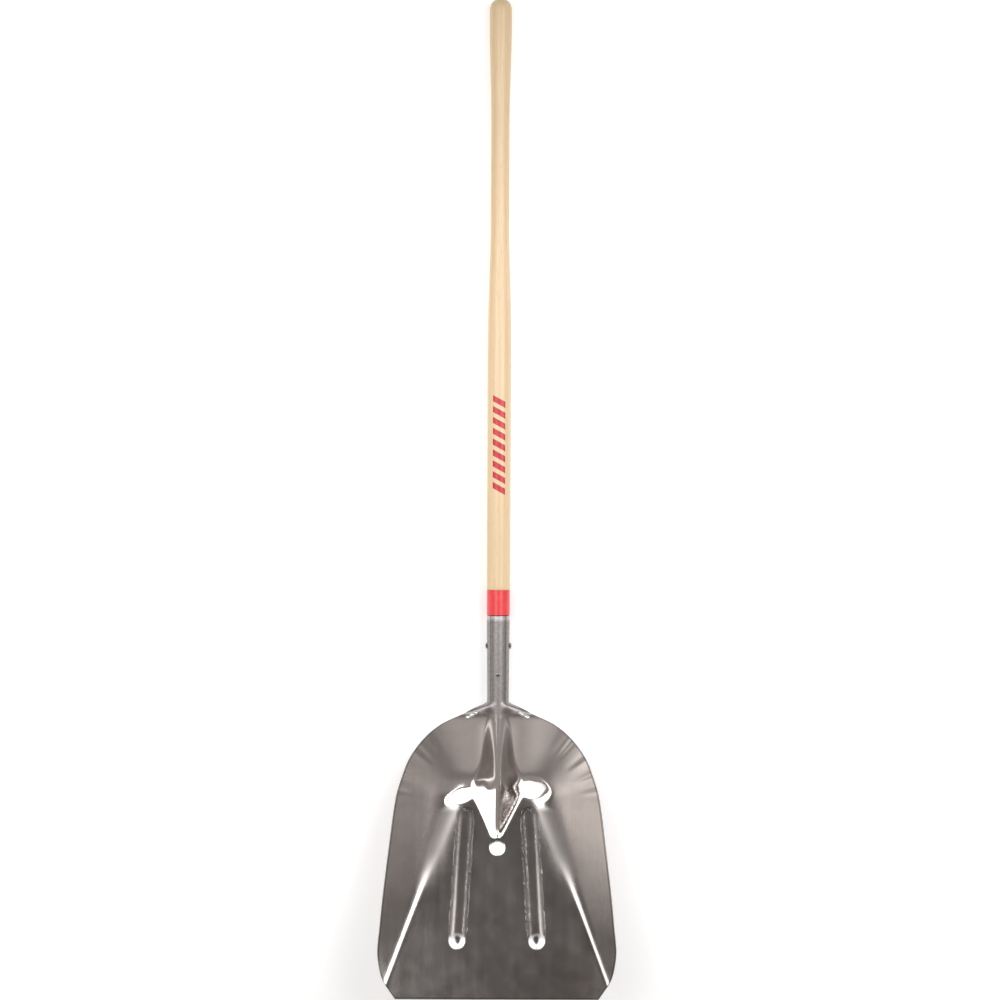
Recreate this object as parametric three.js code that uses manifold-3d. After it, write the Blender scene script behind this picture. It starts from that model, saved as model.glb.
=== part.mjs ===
// Grain scoop shovel, in millimetres: a pressed sheet blade and riveted socket on a long wood handle.
// It lies on its back with the bowl open upwards (+Z) and the handle pointing along +Y.
// Shapes are worked out first in the handle's own frame: the cutting edge is at y = 0, the handle's axis runs
// along y at z = AXIS_Z. The whole shovel is then laid down so that its heel and handle end touch the ground.
import * as THREE from 'three';
import { mergeVertices } from 'three/addons/utils/BufferGeometryUtils.js';
import Module from 'manifold-3d';

// ---------------------------------------------------------------- driving dimensions
const AXIS_Z = 24; // height of the handle's axis above the blade's datum
const GAP = 0.3; // clearance between pieces that touch

// Blade: a flat floor that slopes down from the cutting edge, with walls rising round its sides and back.
const SHEET = 2.3; // thickness of the blade's sheet
const TIP_Z = 172; // height of the cutting edge
const FLOOR_SLOPE = 0.567; // fall of the floor for each millimetre towards the heel
const FLOOR_FRONT_X = 180; // half width of the floor near the cutting edge
const FLOOR_FRONT_Y = 22; // where that width is
const FLOOR_TAPER = 0.3695; // how fast each side of the floor closes in towards the heel
const FLOOR_BACK_Y = 322; // where the floor's plane meets the back wall's
const FLOOR_CORNER = 40; // corner radius of the floor's outline at the heel
const WALL_SLOPE_FRONT = 0.5; // rise of the walls for each millimetre out from the floor
const WALL_SLOPE_BACK = 0.95;
const FILLET_FRONT = 14; // width of the bend between floor and wall, in plan
const FILLET_BACK = 80;
const RIM_BACK_Y = 446; // where the back of the rim meets the socket's shoulders
const RIM_LEVELLING = 12; // length over which the back wall levels off at the rim
const TIP_HALF_WIDTH = 164; // half width of the cutting edge itself
const TIP_CHAMFER = 0.8; // slope of the clipped corner at each end of it
// Half width of the rim along the shovel: [y, half width].
const RIM = [
  [-12, 166], [20, 180.5], [33, 186], [48, 190], [72, 193], [110, 190], [160, 185.5], [235, 177],
  [312, 167], [344, 158], [376, 145], [408, 121], [430, 94], [446, 61], [456, 43], [466, 19], [475, 0],
];
const HEEL = { x: 60, y: FLOOR_BACK_Y + 5 }; // lowest point of the blade
const SHOULDER_FILLET = 10; // rounding where the rim runs into the socket
const BEND_COLUMNS = [0.47, 0.96]; // least and greatest share of the half width where the mesh has the bend

// Two stiffening ribs pressed up out of the floor.
const RIB_FRONT = { x: 64.7, y: 86 }; // centre of each rib's front end
const RIB_BACK = { x: 53.8, y: 274 };
const RIB_HALF_WIDTH = 16;
const RIB_EDGE = 13; // width of a rib's sloping edge
const RIB_HEIGHT = 1.2;
const DOME_R = 13; // round dome that ends each rib, and another in front of the ridge
const DOME_HEIGHT = 3;
const DOME_FILLET = 1.2; // rounding at its foot

// Centre ridge, the socket's line carried on into the bowl until it runs out in the floor.
const RIDGE_NOSE_Y = 247; // where its front end begins to close
const RIDGE_NOSE_DROP = 9; // fall of its crest from the rim to the nose, and the power it follows
const RIDGE_DROP_POWER = 1.3;
const RIDGE_NOSE_FLANK = 1.2; // slope of its sides towards the nose, and towards the rim
const RIDGE_BACK_FLANK = 1.9;
const RIDGE_STEEPENING = [310, 385]; // where one slope gives way to the other
const RIDGE_NOSE_ROUND = 4; // how far its rounded crest spreads at the nose, and at the rim
const RIDGE_BACK_ROUND = 34;
const RIDGE_NOSE_BLEND = 14; // height over which it blends into the floor, and into the back wall
const RIDGE_BACK_BLEND = 5;
const NOSE_DOME_Y = 227; // centre of the dome in front of the nose

// Socket: a tapered tube, its front and sides part of the blade's sheet and its back part of the strap.
const SOCKET_START_Y = 468;
const SOCKET_END_Y = 611;
const SOCKET_START_R = 18.1;
const SOCKET_END_R = 19.2;
const SHOULDER_START_Y = 446; // the pressed sheet turns into the tube from here to SOCKET_START_Y
// Half of the angle round the socket that the blade's sheet covers, at the shoulder and from WRAP_END_Y on.
const WRAP_START = THREE.MathUtils.degToRad(80);
const WRAP_END = THREE.MathUtils.degToRad(112);
const WRAP_END_Y = 530;
const SEAM = THREE.MathUtils.degToRad(2); // gap between the blade's sheet and the strap on each side

// Back strap, a trough under the ridge that closes its hollow and carries the socket's load into the blade.
const STRAP_SHEET = 2;
const STRAP_GAP = 0.9; // clearance to the blade's pressed sheet
const STRAP_BLEND = 6;
const STRAP_FLANGE_ROOM = 1.15; // extra depth for a flange lying on the slope of the back wall
const STRAP_ROUND = 28; // how far the trough's rounded bottom spreads
const STRAP = [
  [358, 36], [361, 41], [368, 46], [390, 51], [425, 53], [446, 50], [456, 36], [466, 16], [475, 0],
];

// Handle, turned from ash: [y, radius], from just above the socket to the start of the domed end.
const HANDLE_BODY = [
  [656, 19.6], [900, 19.7], [1060, 19.6], [1123, 18.9], [1157, 18.0], [1190, 17.0], [1224, 16.1],
  [1260, 15.6], [1360, 15.4], [1458, 15.6], [1482, 16.1], [1519, 17.0], [1552, 17.9], [1590, 18.7],
  [1626, 18.7],
];
const DOME_START_Y = 1626;
const HANDLE_END_Y = 1644;
const END_FLAT_R = 6; // small flat on the domed end
const TENON_START_Y = 462; // the handle's lower end, inside the socket
const TENON_CHAMFER = 3;

// Colour band round the handle, just above the socket.
const BAND_START_Y = 612.5;
const BAND_END_Y = 654.5;
const BAND_R = 19.4;
const BAND_SHEET = 0.8;

// Rivets.
const CROSS_RIVET_Y = 561;
const CROSS_RIVET_R = 2.6;
const FRONT_PIN_Y = 514;
const FRONT_PIN_R = 2.2;
const HEAD_R = 5.4;
const HEAD_HEIGHT = 3.2;
const SET_END_R = 4.2; // a rivet's smaller, hammered end
const SET_END_SHARE = 0.4; // its height, as a share of the head's
const PIN_HEAD_R = 3.8;
const PIN_HEAD_HEIGHT = 1.2;
const BURR_SHEET = 0.8;
const DRILL_LENGTH = 60; // enough to pass right through the socket

// Weld beads.
const WELD_R = 1.7;
const WELD_HEIGHT = 0.8; // a bead's height as a share of its width
const SHOULDER_WELD_R = 2;
const SHOULDER_WELD = [[54, 441.5], [46, 445], [38, 448.5], [31, 452]]; // [x, y] on the blade's upper face

// ---------------------------------------------------------------- curves
// A smooth curve through [at, value] points, with the slope at each point taken from its neighbours.
function through(points, at) {
  const last = points.length - 1;
  const position = THREE.MathUtils.clamp(at, points[0][0], points[last][0]);
  let i = 0;
  while (i < last - 1 && points[i + 1][0] < position) i += 1;
  const slope = (k) => {
    const before = points[Math.max(k - 1, 0)];
    const after = points[Math.min(k + 1, last)];
    return (after[1] - before[1]) / (after[0] - before[0]);
  };
  const [a, valueA] = points[i];
  const [b, valueB] = points[i + 1];
  const span = b - a;
  const t = (position - a) / span;
  return valueA * (1 + 2 * t) * (1 - t) ** 2 + slope(i) * span * t * (1 - t) ** 2
    + valueB * (3 - 2 * t) * t ** 2 - slope(i + 1) * span * (1 - t) * t ** 2;
}

// A ramp that is 0 below -width/2 and equals its input above width/2, with a smooth bend between.
function bentRamp(d, width) {
  const t = d / width + 0.5;
  if (t <= 0) return 0;
  if (t >= 1) return d;
  return width * (t ** 3 - t ** 4 / 2);
}

// The higher of two heights, with a fillet where they cross.
function filletMax(a, b, blend) {
  const t = Math.max(blend - Math.abs(a - b), 0) / blend;
  return Math.max(a, b) + blend * t ** 3 / 6;
}

const lerp = THREE.MathUtils.lerp;
const smoothstep = THREE.MathUtils.smoothstep;

// ---------------------------------------------------------------- the pressed blade's surface
function rimHalfWidth(y) {
  const rim = Math.min(through(RIM, y), TIP_HALF_WIDTH + TIP_CHAMFER * y);
  return filletMax(rim, socketRadius(y), SHOULDER_FILLET);
}

// Distance in plan outside the floor's outline, negative inside it.
function outsideFloor(x, y) {
  const length = Math.hypot(1, FLOOR_TAPER);
  const normalX = 1 / length;
  const normalY = FLOOR_TAPER / length;
  const side = (Math.abs(x) - FLOOR_FRONT_X) * normalX + (y - FLOOR_FRONT_Y) * normalY + FLOOR_CORNER;
  const back = y - FLOOR_BACK_Y + FLOOR_CORNER;
  const alongSide = (side - normalY * back) / (1 - normalY ** 2);
  const alongBack = (back - normalY * side) / (1 - normalY ** 2);
  if (alongSide > 0 && alongBack > 0) {
    return Math.sqrt(alongSide ** 2 + alongBack ** 2 + 2 * alongSide * alongBack * normalY) - FLOOR_CORNER;
  }
  return Math.max(side, back) - FLOOR_CORNER;
}

function dishHeight(x, y) {
  const reach = RIM_BACK_Y - bentRamp(RIM_BACK_Y - y, RIM_LEVELLING);
  const along = Math.max(reach / RIM_BACK_Y, 0);
  const wallSlope = lerp(WALL_SLOPE_FRONT, WALL_SLOPE_BACK, 1 - (1 - along) ** 2);
  const fillet = lerp(FILLET_FRONT, FILLET_BACK, Math.min(reach / FLOOR_BACK_Y, 1) ** 2);
  return TIP_Z - FLOOR_SLOPE * reach + wallSlope * bentRamp(outsideFloor(x, reach), fillet);
}

function ribHeight(x, y) {
  const run = new THREE.Vector2(RIB_BACK.x - RIB_FRONT.x, RIB_BACK.y - RIB_FRONT.y);
  const point = new THREE.Vector2(Math.abs(x) - RIB_FRONT.x, y - RIB_FRONT.y);
  const t = THREE.MathUtils.clamp(point.dot(run) / run.lengthSq(), 0, 1);
  const distance = point.addScaledVector(run, -t).length();
  const rib = RIB_HEIGHT * (1 - smoothstep(distance, RIB_HALF_WIDTH - RIB_EDGE, RIB_HALF_WIDTH));
  return filletMax(rib, domeHeight(Math.abs(x) - RIB_FRONT.x, y - RIB_FRONT.y), DOME_FILLET);
}

function domeHeight(x, y) {
  return filletMax(0, DOME_HEIGHT * (1 - (x * x + y * y) / DOME_R ** 2), DOME_FILLET);
}

// How far along the ridge y is, from 0 at its nose to 1 at the rim.
function alongRidge(y) {
  return THREE.MathUtils.clamp((y - RIDGE_NOSE_Y) / (RIM_BACK_Y - RIDGE_NOSE_Y), 0, 1);
}

function ridgeHeight(x, y) {
  const off = Math.hypot(x, Math.min(y - RIDGE_NOSE_Y, 0));
  const round = lerp(RIDGE_NOSE_ROUND, RIDGE_BACK_ROUND, alongRidge(y) ** 3);
  const flank = lerp(RIDGE_NOSE_FLANK, RIDGE_BACK_FLANK, smoothstep(y, ...RIDGE_STEEPENING));
  const crest = AXIS_Z + SOCKET_START_R - RIDGE_NOSE_DROP * (1 - alongRidge(y)) ** RIDGE_DROP_POWER;
  return crest - flank * (Math.hypot(off, round) - round);
}

function bladeHeight(x, y) {
  const blend = lerp(RIDGE_NOSE_BLEND, RIDGE_BACK_BLEND, alongRidge(y) ** 3);
  const dish = filletMax(dishHeight(x, y), ridgeHeight(x, y), blend);
  return dish + ribHeight(x, y) + domeHeight(x, y - NOSE_DOME_Y);
}

// Height of the sheet's lower face under the same point in plan.
function bladeUnderside(x, y) {
  const step = 0.5;
  const height = bladeHeight(x, y);
  const slopeX = (bladeHeight(x + step, y) - bladeHeight(x - step, y)) / (2 * step);
  const slopeY = (bladeHeight(x, y + step) - bladeHeight(x, y - step)) / (2 * step);
  return height - SHEET * Math.hypot(1, slopeX, slopeY);
}

function socketRadius(y) {
  return lerp(SOCKET_START_R, SOCKET_END_R, THREE.MathUtils.clamp(
    (y - SOCKET_START_Y) / (SOCKET_END_Y - SOCKET_START_Y), 0, 1));
}

function shoulderBlend(y) {
  return smoothstep(y, SHOULDER_START_Y, SOCKET_START_Y);
}

// How far round the socket the blade's sheet reaches on each side. The strap covers the rest.
function frontWrap(y) {
  return lerp(WRAP_START, WRAP_END, smoothstep(y, SHOULDER_START_Y, WRAP_END_Y));
}

// A point on the blade's upper face, across from -1 to 1. Past the rim it turns into the socket's front.
function bladePoint(across, y) {
  const radius = socketRadius(y);
  const halfWidth = rimHalfWidth(y);
  const blend = shoulderBlend(y);
  const angle = across * frontWrap(y);
  const x = halfWidth * lerp(across, Math.sin(angle), blend);
  const pressed = blend < 1 ? bladeHeight(halfWidth * across, y) : 0;
  return new THREE.Vector3(x, y, lerp(pressed, AXIS_Z + radius * Math.cos(angle), blend));
}

// The strap's outer face, from below: a trough held just under the blade's sheet, then the socket's back.
function strapPoint(across, y) {
  const radius = socketRadius(y);
  const wrap = Math.PI - SEAM - frontWrap(y);
  const halfWidth = filletMax(through(STRAP, y), radius * Math.sin(wrap), SHOULDER_FILLET);
  const blend = shoulderBlend(y);
  const angle = across * wrap;
  const flatX = halfWidth * across;
  const x = lerp(flatX, halfWidth * Math.sin(angle) / Math.sin(wrap), blend);
  let pressed = 0;
  if (blend < 1) {
    const flange = bladeUnderside(flatX, y) - STRAP_GAP - STRAP_SHEET * STRAP_FLANGE_ROOM;
    const start = STRAP[0][0];
    const frontBottom = dishHeight(0, start) - SHEET - STRAP_GAP - STRAP_SHEET;
    const bottom = lerp(frontBottom, AXIS_Z - SOCKET_START_R, smoothstep(y, start, SOCKET_START_Y));
    const trough = bottom + Math.hypot(flatX, STRAP_ROUND) - STRAP_ROUND;
    pressed = -filletMax(-flange, -trough, STRAP_BLEND);
  }
  return new THREE.Vector3(x, y, lerp(pressed, AXIS_Z - radius * Math.cos(angle), blend));
}

// ---------------------------------------------------------------- solids
function surfaceNormal(pointAt, across, along) {
  const step = 1e-3;
  const sideways = pointAt(across + step, along).sub(pointAt(across - step, along));
  const forward = pointAt(across, along + step).sub(pointAt(across, along - step));
  return sideways.cross(forward).normalize();
}

// A closed sheet between the face pointAt(across, along) and the same face moved along its normal.
function sheetSolid(acrossValues, alongValues, pointAt, thickness) {
  const columns = acrossValues.length;
  const rows = alongValues.length;
  const positions = [];
  const moved = [];
  for (const along of alongValues) {
    for (const value of acrossValues) {
      const across = typeof value === 'function' ? value(along) : value;
      const point = pointAt(across, along);
      const normal = surfaceNormal(pointAt, across, along);
      positions.push(...point.toArray());
      moved.push(...point.addScaledVector(normal, thickness).toArray());
    }
  }
  const index = [];
  const offset = rows * columns;
  const quad = (a, b, c, d) => index.push(a, b, c, a, c, d);
  for (let row = 0; row < rows - 1; row += 1) {
    for (let column = 0; column < columns - 1; column += 1) {
      const a = row * columns + column;
      quad(a, a + 1, a + 1 + columns, a + columns);
      quad(offset + a, offset + a + columns, offset + a + 1 + columns, offset + a + 1);
    }
    const left = row * columns;
    const right = left + columns - 1;
    quad(left, left + columns, offset + left + columns, offset + left);
    quad(right, offset + right, offset + right + columns, right + columns);
  }
  for (let column = 0; column < columns - 1; column += 1) {
    const front = column;
    const back = (rows - 1) * columns + column;
    quad(front, offset + front, offset + front + 1, front + 1);
    quad(back, back + 1, offset + back + 1, offset + back);
  }
  if (thickness > 0) index.reverse();
  const geometry = new THREE.BufferGeometry();
  geometry.setAttribute('position', new THREE.Float32BufferAttribute([...positions, ...moved], 3));
  geometry.setIndex(index);
  return geometry;
}

const wasm = await Module();
wasm.setup();

function toManifold(geometry) {
  const bare = geometry.clone();
  bare.deleteAttribute('normal');
  bare.deleteAttribute('uv');
  const merged = mergeVertices(bare, 1e-4);
  return new wasm.Manifold(new wasm.Mesh({
    numProp: 3,
    vertProperties: new Float32Array(merged.attributes.position.array),
    triVerts: new Uint32Array(merged.index.array),
  }));
}

function fromManifold(solid) {
  const mesh = solid.getMesh();
  const geometry = new THREE.BufferGeometry();
  geometry.setAttribute('position', new THREE.BufferAttribute(mesh.vertProperties, 3));
  geometry.setIndex(new THREE.BufferAttribute(mesh.triVerts, 1));
  return geometry;
}

function drilled(geometry, ...drills) {
  let solid = toManifold(geometry);
  for (const drill of drills) solid = solid.subtract(toManifold(drill));
  return fromManifold(solid);
}

// A hole right across the socket, and one from its front to its back, both through the handle's axis.
function crossDrill() {
  const drill = new THREE.CylinderGeometry(CROSS_RIVET_R + GAP, CROSS_RIVET_R + GAP, DRILL_LENGTH, 16);
  return drill.rotateZ(Math.PI / 2).translate(0, CROSS_RIVET_Y, AXIS_Z);
}

function frontDrill() {
  const drill = new THREE.CylinderGeometry(FRONT_PIN_R + GAP, FRONT_PIN_R + GAP, DRILL_LENGTH, 16);
  return drill.rotateX(Math.PI / 2).translate(0, FRONT_PIN_Y, AXIS_Z);
}

function mirrored(values) {
  const negative = values.filter((value) => value !== 0).map(
    (value) => (typeof value === 'function' ? (y) => -value(y) : -value));
  return [...negative.reverse(), ...values];
}

function steps(start, end, count) {
  return Array.from({ length: count + 1 }, (unused, i) => lerp(start, end, i / count));
}

function bladeGeometry() {
  // Columns keep to the ridge, the ribs and the bend between floor and wall, wherever those run.
  const bend = (y) => {
    const onFloor = Math.min(y, FLOOR_BACK_Y);
    const floorHalfWidth = FLOOR_FRONT_X - FLOOR_TAPER * (onFloor - FLOOR_FRONT_Y);
    return THREE.MathUtils.clamp(floorHalfWidth / rimHalfWidth(onFloor), ...BEND_COLUMNS);
  };
  const beyond = (t) => (y) => lerp(bend(y), 1, t);
  const columns = mirrored([
    0, 0.03, 0.06, 0.095, 0.135, 0.19, 0.25, 0.27, 0.30, 0.335, 0.37, 0.40, 0.42,
    (y) => bend(y) - 0.03, bend, beyond(0.3), beyond(0.65), 1,
  ]);
  const rows = [
    0, 10, 20, 33, 50, 71, 75, 81, 86, 91, 97, 103, ...steps(135, 205, 2), 215, 221, 228, 235, 241, 246, 253,
    264, 276, 284, 290, ...steps(300, 430, 10), 438, 446, 452, 457, 463, SOCKET_START_Y, 486, FRONT_PIN_Y,
    WRAP_END_Y, CROSS_RIVET_Y, SOCKET_END_Y,
  ];
  return drilled(sheetSolid(columns, rows, bladePoint, -SHEET), crossDrill(), frontDrill());
}

function strapGeometry() {
  const columns = steps(-1, 1, 18);
  const rows = [
    358, 361, 364, 368, 376, ...steps(388, 438, 4), 446, 452, 457, 463, SOCKET_START_Y, 486, FRONT_PIN_Y,
    WRAP_END_Y, SOCKET_END_Y - 2,
  ];
  return drilled(sheetSolid(columns, rows, strapPoint, STRAP_SHEET), frontDrill());
}

function handleGeometry() {
  const tenonRadius = (y) => socketRadius(y) - SHEET - 2 * GAP;
  const neckRadius = BAND_R - BAND_SHEET - GAP;
  const profile = [
    [0, TENON_START_Y], [tenonRadius(TENON_START_Y) - TENON_CHAMFER, TENON_START_Y],
    [tenonRadius(TENON_START_Y), TENON_START_Y + TENON_CHAMFER],
    [tenonRadius(SOCKET_END_Y), SOCKET_END_Y + GAP],
    [neckRadius, SOCKET_END_Y + GAP], [neckRadius, BAND_END_Y + GAP], [HANDLE_BODY[0][1], HANDLE_BODY[0][0]],
  ];
  const bodyRings = [780, 900, 1000, 1060, ...steps(1100, 1260, 6), 1310, 1410, ...steps(1458, 1590, 5)];
  for (const y of bodyRings) profile.push([through(HANDLE_BODY, y), y]);
  const domeRadius = through(HANDLE_BODY, DOME_START_Y);
  for (const turn of steps(0, Math.PI / 2, 6)) {
    const radius = END_FLAT_R + (domeRadius - END_FLAT_R) * Math.cos(turn);
    profile.push([radius, lerp(DOME_START_Y, HANDLE_END_Y, Math.sin(turn))]);
  }
  profile.push([0, HANDLE_END_Y]);
  const lathe = new THREE.LatheGeometry(profile.map(([radius, y]) => new THREE.Vector2(radius, y)), 28);
  return drilled(lathe.translate(0, 0, AXIS_Z), crossDrill(), frontDrill());
}

function bandGeometry() {
  const inner = BAND_R - BAND_SHEET;
  const profile = [
    [inner, BAND_START_Y], [BAND_R, BAND_START_Y], [BAND_R, BAND_END_Y], [inner, BAND_END_Y],
    [inner, BAND_START_Y],
  ];
  return new THREE.LatheGeometry(profile.map(([radius, y]) => new THREE.Vector2(radius, y)), 28);
}

// A rivet along its own y axis: a domed head past the far end, a shank, and a smaller set end.
function rivetGeometry(shankRadius, headRadius, headHeight, near, far, setRadius) {
  const setHeight = headHeight * SET_END_SHARE;
  const profile = [[0, near - setHeight], [setRadius * 0.75, near - setHeight * 0.75], [setRadius, near]];
  profile.push([shankRadius, near], [shankRadius, far], [headRadius, far]);
  for (const turn of steps(0, Math.PI / 2, 4).slice(1)) {
    profile.push([headRadius * Math.cos(turn), far + headHeight * Math.sin(turn)]);
  }
  profile[profile.length - 1][0] = 0;
  return new THREE.LatheGeometry(profile.map(([radius, y]) => new THREE.Vector2(radius, y)), 16);
}

function burrGeometry() {
  const inner = CROSS_RIVET_R + GAP;
  const profile = [[inner, 0], [HEAD_R, 0], [HEAD_R, BURR_SHEET], [inner, BURR_SHEET], [inner, 0]];
  return new THREE.LatheGeometry(profile.map(([radius, y]) => new THREE.Vector2(radius, y)), 16);
}

// A weld bead of the given radius along a path.
function beadGeometry(points, radius) {
  const section = new THREE.Shape();
  section.absellipse(0, 0, radius, radius * WELD_HEIGHT, 0, Math.PI * 2);
  const extrudePath = new THREE.CatmullRomCurve3(points);
  const settings = { extrudePath, steps: 12, curveSegments: 4, bevelEnabled: false };
  return new THREE.ExtrudeGeometry(section, settings);
}

// ---------------------------------------------------------------- materials
function finish(color, roughness, metalness) {
  return new THREE.MeshStandardMaterial({ color, roughness, metalness });
}

const polished = finish(0xb9b4b0, 0.22, 1);
const milled = finish(0xaaa6a2, 0.35, 1);
const wood = finish(0xe2c9a0, 0.5, 0);
const bandRed = finish(0xee5055, 0.45, 0);
const rivetMetal = finish(0x9a9896, 0.3, 1);
const weldMetal = finish(0xc9c7c4, 0.35, 1);

// ---------------------------------------------------------------- assembly
const shovel = new THREE.Group();

function place(name, geometry, material) {
  const mesh = new THREE.Mesh(geometry, material);
  mesh.name = name;
  shovel.add(mesh);
  return mesh;
}

place('blade', bladeGeometry(), polished);
place('back_strap', strapGeometry(), milled);
place('handle', handleGeometry(), wood);
place('color_band', bandGeometry(), bandRed).position.z = AXIS_Z;

// The cross rivet's head bears on the right side of the socket, and its set end on a burr on the left.
const rivetSeat = socketRadius(CROSS_RIVET_Y) + GAP;
const setEnd = -rivetSeat - BURR_SHEET - GAP;
const crossRivetSolid = rivetGeometry(CROSS_RIVET_R, HEAD_R, HEAD_HEIGHT, setEnd, rivetSeat, SET_END_R);
const crossRivet = place('cross_rivet', crossRivetSolid, rivetMetal);
crossRivet.position.set(0, CROSS_RIVET_Y, AXIS_Z);
crossRivet.rotation.z = -Math.PI / 2;
const burr = place('cross_rivet_burr', burrGeometry(), rivetMetal);
burr.position.set(-rivetSeat, CROSS_RIVET_Y, AXIS_Z);
burr.rotation.z = Math.PI / 2;

// The front pin holds the strap to the blade's sheet through the handle.
const pinSeat = socketRadius(FRONT_PIN_Y) + GAP;
const pinSolid = rivetGeometry(FRONT_PIN_R, PIN_HEAD_R, PIN_HEAD_HEIGHT, -pinSeat, pinSeat, PIN_HEAD_R);
const frontPin = place('front_pin', pinSolid, rivetMetal);
frontPin.position.set(0, FRONT_PIN_Y, AXIS_Z);
frontPin.rotation.x = Math.PI / 2;

// Weld beads on the blade's upper face at the shoulders.
function shoulderWeld(side) {
  const points = SHOULDER_WELD.map(([x, y]) => {
    const across = x / rimHalfWidth(y);
    const lift = surfaceNormal(bladePoint, across, y).multiplyScalar(SHOULDER_WELD_R + GAP);
    return bladePoint(across, y).add(lift).multiply(new THREE.Vector3(side, 1, 1));
  });
  return beadGeometry(points, SHOULDER_WELD_R);
}

place('shoulder_weld_left', shoulderWeld(-1), weldMetal);
place('shoulder_weld_right', shoulderWeld(1), weldMetal);

// Each of the strap's flanges is welded to the underside of the back wall along its outer edge.
function flangeWeld(side) {
  const points = steps(376, 424, 4).map((y) => {
    const x = through(STRAP, y) + WELD_R + 2 * GAP;
    return new THREE.Vector3(x * side, y, bladeUnderside(x, y) - WELD_R - 3 * GAP);
  });
  return beadGeometry(points, WELD_R);
}

place('flange_weld_left', flangeWeld(-1), weldMetal);
place('flange_weld_right', flangeWeld(1), weldMetal);

// ---------------------------------------------------------------- lying on the ground
// The shovel rests on its heel and on the handle's end, so it tips by the slope of the line under both.
const heelBottom = dishHeight(HEEL.x, HEEL.y) - SHEET;
const endBottom = AXIS_Z - through(HANDLE_BODY, DOME_START_Y);
shovel.rotation.x = -Math.atan((endBottom - heelBottom) / (DOME_START_Y - HEEL.y));

const group = new THREE.Group();
group.add(shovel);
group.updateMatrixWorld(true);
const box = new THREE.Box3().setFromObject(group, true);
shovel.position.set(0, -(box.min.y + box.max.y) / 2, -box.min.z);

export default group;
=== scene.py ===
"""Grain scoop shovel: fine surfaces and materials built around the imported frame.

Shapes are worked out in the handle's own frame, in millimetres, as on the part: the cutting edge is at y = 0 and the
handle's axis runs along y at z = AXIS_Z. `TO_FRAME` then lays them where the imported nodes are, in metres.
"""
import math

import bpy
import numpy as np
from mathutils import Matrix, Vector, noise


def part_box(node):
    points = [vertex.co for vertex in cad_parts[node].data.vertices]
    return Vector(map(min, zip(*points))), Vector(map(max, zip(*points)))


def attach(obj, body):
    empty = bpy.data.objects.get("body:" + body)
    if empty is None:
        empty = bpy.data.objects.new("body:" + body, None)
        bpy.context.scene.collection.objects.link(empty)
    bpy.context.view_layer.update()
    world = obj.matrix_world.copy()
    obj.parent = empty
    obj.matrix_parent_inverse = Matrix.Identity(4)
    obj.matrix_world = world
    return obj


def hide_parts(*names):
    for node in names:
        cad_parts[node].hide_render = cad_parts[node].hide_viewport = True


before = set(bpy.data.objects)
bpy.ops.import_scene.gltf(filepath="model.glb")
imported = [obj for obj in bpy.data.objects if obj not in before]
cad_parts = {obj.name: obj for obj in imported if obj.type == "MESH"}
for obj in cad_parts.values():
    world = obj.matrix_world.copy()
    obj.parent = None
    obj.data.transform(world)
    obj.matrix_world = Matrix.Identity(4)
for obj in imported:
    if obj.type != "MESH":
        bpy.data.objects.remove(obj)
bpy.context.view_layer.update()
MM = 0.001

# ---------------------------------------------------------------- driving dimensions, as on the part
AXIS_Z = 24.0
GAP = 0.3
SHEET = 2.3
TIP_Z = 172.0
FLOOR_SLOPE = 0.567
FLOOR_FRONT_X, FLOOR_FRONT_Y = 180.0, 22.0
FLOOR_TAPER = 0.3695
FLOOR_BACK_Y = 322.0
FLOOR_CORNER = 40.0
WALL_SLOPE_FRONT, WALL_SLOPE_BACK = 0.5, 0.95
FILLET_FRONT, FILLET_BACK = 14.0, 80.0
RIM_BACK_Y = 446.0
RIM_LEVELLING = 12.0
TIP_HALF_WIDTH, TIP_CHAMFER = 164.0, 0.8
RIM = [(-12, 166), (20, 180.5), (33, 186), (48, 190), (72, 193), (110, 190), (160, 185.5), (235, 177), (312, 167),
       (344, 158), (376, 145), (408, 121), (430, 94), (446, 61), (456, 43), (466, 19), (475, 0)]
HEEL_Y = 327.0
SHOULDER_FILLET = 10.0
RIB_FRONT, RIB_BACK = (64.7, 86.0), (53.8, 274.0)
RIB_HALF_WIDTH, RIB_EDGE, RIB_HEIGHT = 16.0, 13.0, 1.2
DOME_R, DOME_HEIGHT, DOME_FILLET, NOSE_DOME_Y = 13.0, 3.0, 1.2, 227.0
RIDGE_NOSE_Y, RIDGE_NOSE_DROP, RIDGE_DROP_POWER = 247.0, 9.0, 1.3
RIDGE_NOSE_FLANK, RIDGE_BACK_FLANK = 1.2, 1.9
RIDGE_STEEPENING = (310.0, 385.0)
RIDGE_NOSE_ROUND, RIDGE_BACK_ROUND = 4.0, 34.0
RIDGE_NOSE_BLEND, RIDGE_BACK_BLEND = 14.0, 5.0
SOCKET_START_Y, SOCKET_END_Y = 468.0, 611.0
SOCKET_START_R, SOCKET_END_R = 18.1, 19.2
SHOULDER_START_Y = 446.0
WRAP_START, WRAP_END, WRAP_END_Y = math.radians(80), math.radians(112), 530.0
SEAM = math.radians(2)
STRAP_SHEET, STRAP_GAP, STRAP_BLEND, STRAP_ROUND = 2.0, 0.9, 6.0, 28.0
STRAP_FLANGE_ROOM = 1.15
STRAP = [(358, 36), (361, 41), (368, 46), (390, 51), (425, 53), (446, 50), (456, 36), (466, 16), (475, 0)]
HANDLE_BODY = [(656, 19.6), (900, 19.7), (1060, 19.6), (1123, 18.9), (1157, 18.0), (1190, 17.0), (1224, 16.1),
               (1260, 15.6), (1360, 15.4), (1458, 15.6), (1482, 16.1), (1519, 17.0), (1552, 17.9), (1590, 18.7),
               (1626, 18.7)]
DOME_START_Y, HANDLE_END_Y, END_FLAT_R = 1626.0, 1644.0, 6.0
TENON_START_Y, TENON_CHAMFER = 462.0, 3.0
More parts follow.
